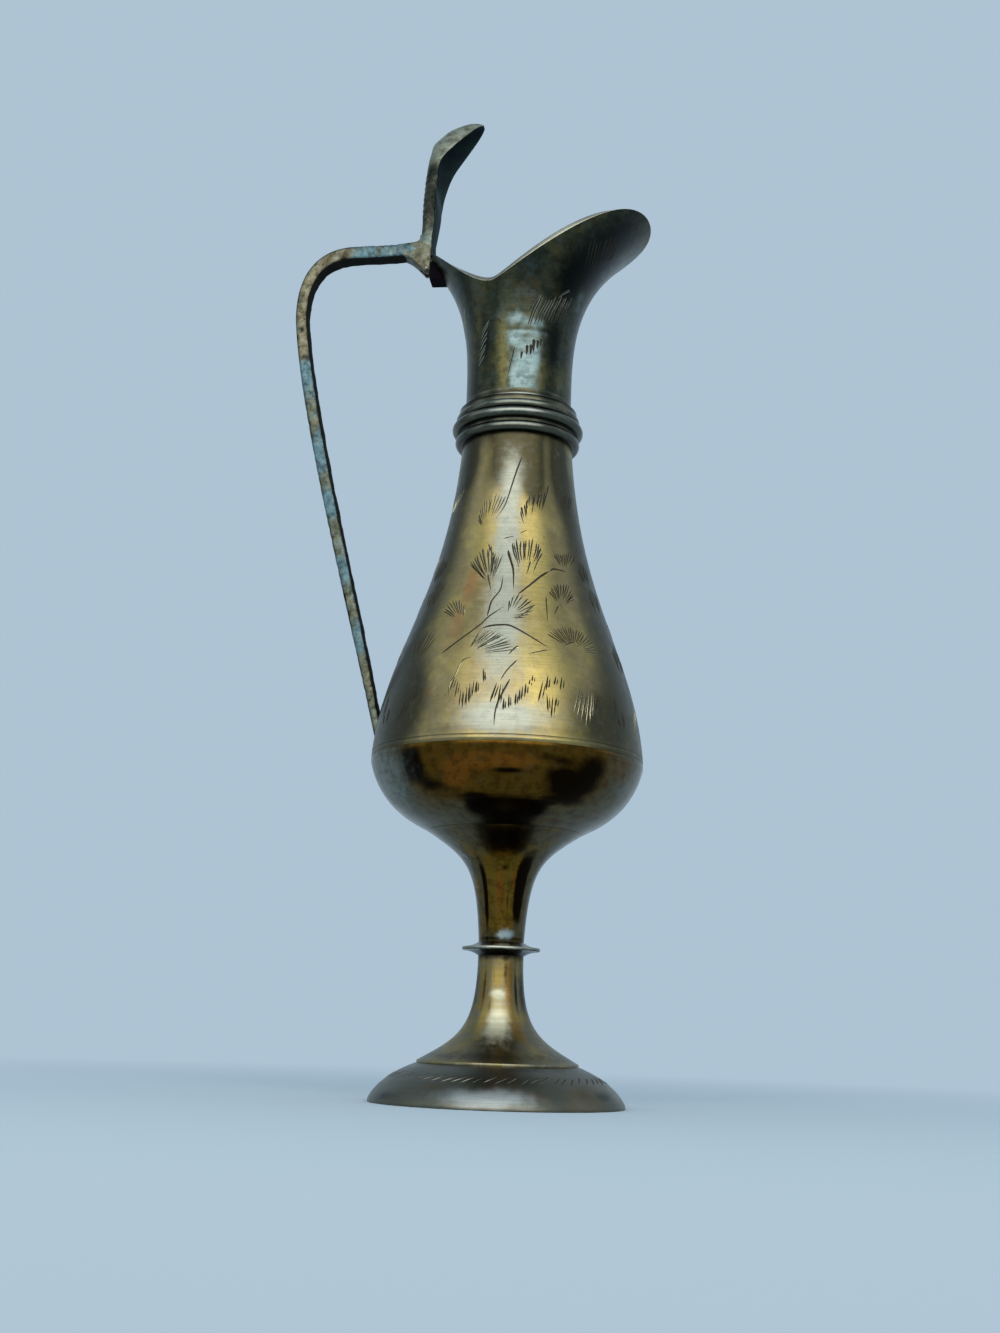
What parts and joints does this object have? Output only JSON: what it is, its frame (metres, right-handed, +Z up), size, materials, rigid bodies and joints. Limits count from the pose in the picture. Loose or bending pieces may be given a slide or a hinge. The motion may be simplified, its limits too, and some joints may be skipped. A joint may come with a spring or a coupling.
{
  "type": "brass ewer",
  "caption": "Slender footed pouring ewer with a pear body, a beaded collar, a wide trimmed lip and a long looped handle with a thumb leaf.",
  "frame": {"origin": "on the ewer's turning axis, in the plane that the foot stands on", "axes": "+Z up along the turning axis, +X towards the pouring lip, -X towards the handle"},
  "size_m": [0.0753, 0.0534, 0.2053],
  "materials": {
    "skirt_brass": "dull grey tarnish",
    "stem_brass": "worn polish with dark streaks",
    "dark_brass": "dark tarnish",
    "bowl_brass": "worn polish",
    "shoulder_brass": "satin with fine turning marks and engraved leaves",
    "collar_brass": "dark tarnish with rubbed beads",
    "mouth_brass": "satin, green-grey tarnish",
    "handle_brass": "rough cast, pale with blue-green patches",
    "lug_brass": "black tarnish",
    "screw_steel": "plain"
  },
  "bodies": {
    "root": {"foot_skirt": "skirt_brass", "foot_trumpet": "stem_brass", "stem_disc": "dark_brass", "stem_funnel": "stem_brass", "stem_screw": "screw_steel", "screw_washer": "screw_steel", "body_bowl": "bowl_brass", "body_shoulder": "shoulder_brass", "collar_ring": "collar_brass", "spout_neck": "mouth_brass", "handle": "handle_brass", "handle_lug": "lug_brass", "handle_rivet": "dark_brass"}
  },
  "joints": []
}
